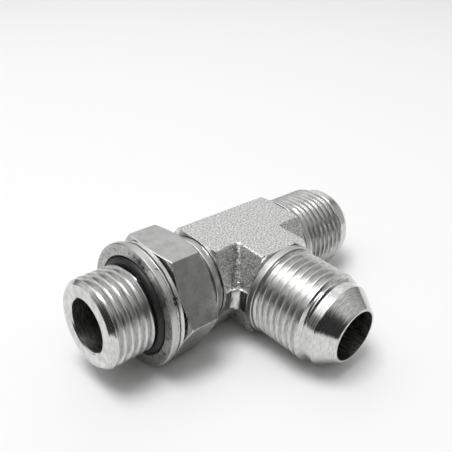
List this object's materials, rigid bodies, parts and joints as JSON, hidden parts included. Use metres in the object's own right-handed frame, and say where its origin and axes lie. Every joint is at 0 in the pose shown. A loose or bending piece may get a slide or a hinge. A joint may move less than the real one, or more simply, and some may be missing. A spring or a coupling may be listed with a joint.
{
  "type": "hydraulic run tee fitting",
  "caption": "Forged steel hydraulic run tee with two threaded 37 degree flare ends and an adjustable parallel-thread stud end with lock nut, backup washer, retaining ring and seal.",
  "frame": {"origin": "crossing of the run bore and the branch bore, at the parting line of the forging", "axes": "run along X with the stud end at -X and a flare end at +X, branch flare end along -Y, broad flats facing +Z and -Z"},
  "size_m": [0.0824, 0.0536, 0.0295],
  "materials": {
    "forged_steel": "zinc plated, blasted on the forging and bright on the turned ends",
    "nut_steel": "satin zinc plate",
    "washer_steel": "bright zinc plate",
    "ring_steel": "mottled zinc plate with dark stains",
    "seal_rubber": "matt black nitrile"
  },
  "bodies": {
    "tee": {"tee_body": "forged_steel"},
    "seal_pack": {"backup_washer": "washer_steel", "retaining_ring": "ring_steel", "o_ring": "seal_rubber"},
    "nut": {"lock_nut": "nut_steel"}
  },
  "joints": [
    {"name": "seal_pack_slide", "type": "slide", "parent": "tee", "child": "seal_pack", "axis": [1, 0, 0], "range_m": [-0.0002, 0.002]},
    {"name": "lock_nut_turn", "type": "hinge", "parent": "seal_pack", "child": "nut", "pos_m": [-0.02375, 0, 0], "axis": [1, 0, 0], "range_deg": [-40.3, 397.4]}
  ],
  "couplings": [
    {"joint": "lock_nut_turn", "follows": "seal_pack_slide", "rad_per_m": 3463.2}
  ]
}
